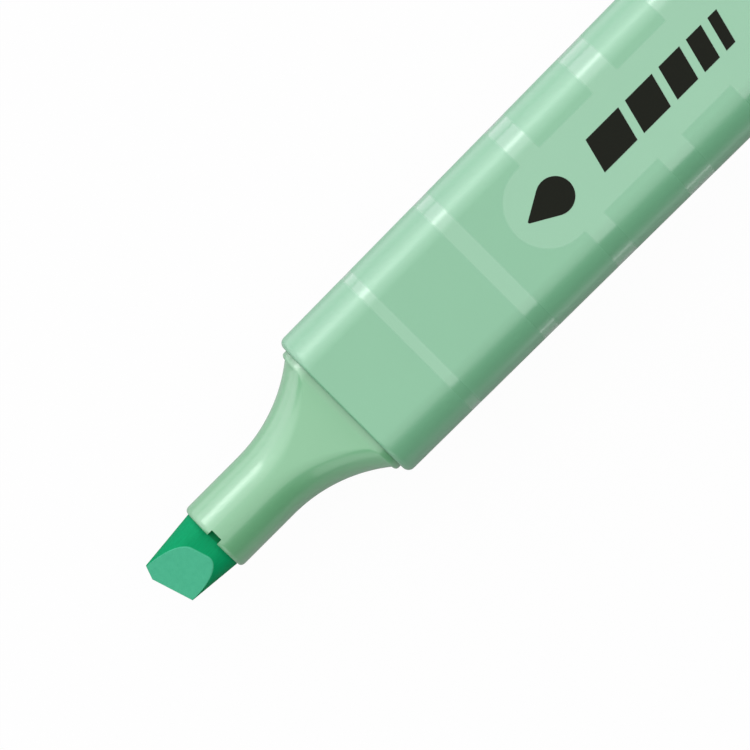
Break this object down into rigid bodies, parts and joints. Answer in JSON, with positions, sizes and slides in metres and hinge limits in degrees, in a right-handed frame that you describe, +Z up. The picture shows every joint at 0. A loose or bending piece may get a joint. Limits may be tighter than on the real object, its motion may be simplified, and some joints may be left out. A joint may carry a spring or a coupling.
{
  "type": "highlighter pen",
  "caption": "Flat-bodied highlighter with a flared round nozzle, a slanted chisel nib and a clip cap posted on its tail.",
  "frame": {"origin": "centre of the bounding box in plan, at the height of the underside that the pen lies on, with the cap posted on the tail", "axes": "+X along the pen from the nib to the tail, +Y across its width, +Z up out of the printed flat face"},
  "size_m": [0.1528, 0.0192, 0.0163],
  "materials": {
    "pastel_barrel": "satin pastel green polypropylene with glossier bands",
    "pastel_front": "semi-gloss pastel green polypropylene",
    "pastel_cap": "satin pastel green polypropylene",
    "seal_plastic": "soft natural-white polyethylene",
    "nib_fibre": "porous fibre, soaked with green ink",
    "reservoir_fibre": "polyester fibre tow, soaked with green ink",
    "film": "thin clear-white wrapping film",
    "print_ink": "thin dark printing ink"
  },
  "bodies": {
    "pen": {"barrel": "pastel_barrel", "barrel_print": "print_ink", "front_section": "pastel_front", "nib": "nib_fibre", "reservoir_core": "reservoir_fibre", "reservoir_film": "film", "tail_plug": "pastel_barrel"},
    "cap": {"cap_shell": "pastel_cap", "cap_seal_cup": "seal_plastic"},
    "clip": {"pocket_clip": "pastel_cap"}
  },
  "joints": [
    {"name": "cap_pull", "type": "slide", "parent": "pen", "child": "cap", "axis": [1, 0, 0], "range_m": [0, 0.02]},
    {"name": "clip_flex", "type": "hinge", "parent": "cap", "child": "clip", "pos_m": [0.07295, 0, 0.01435], "axis": [0, 1, 0], "range_deg": [0, 6], "stiffness_Nm_per_rad": 0.4}
  ]
}
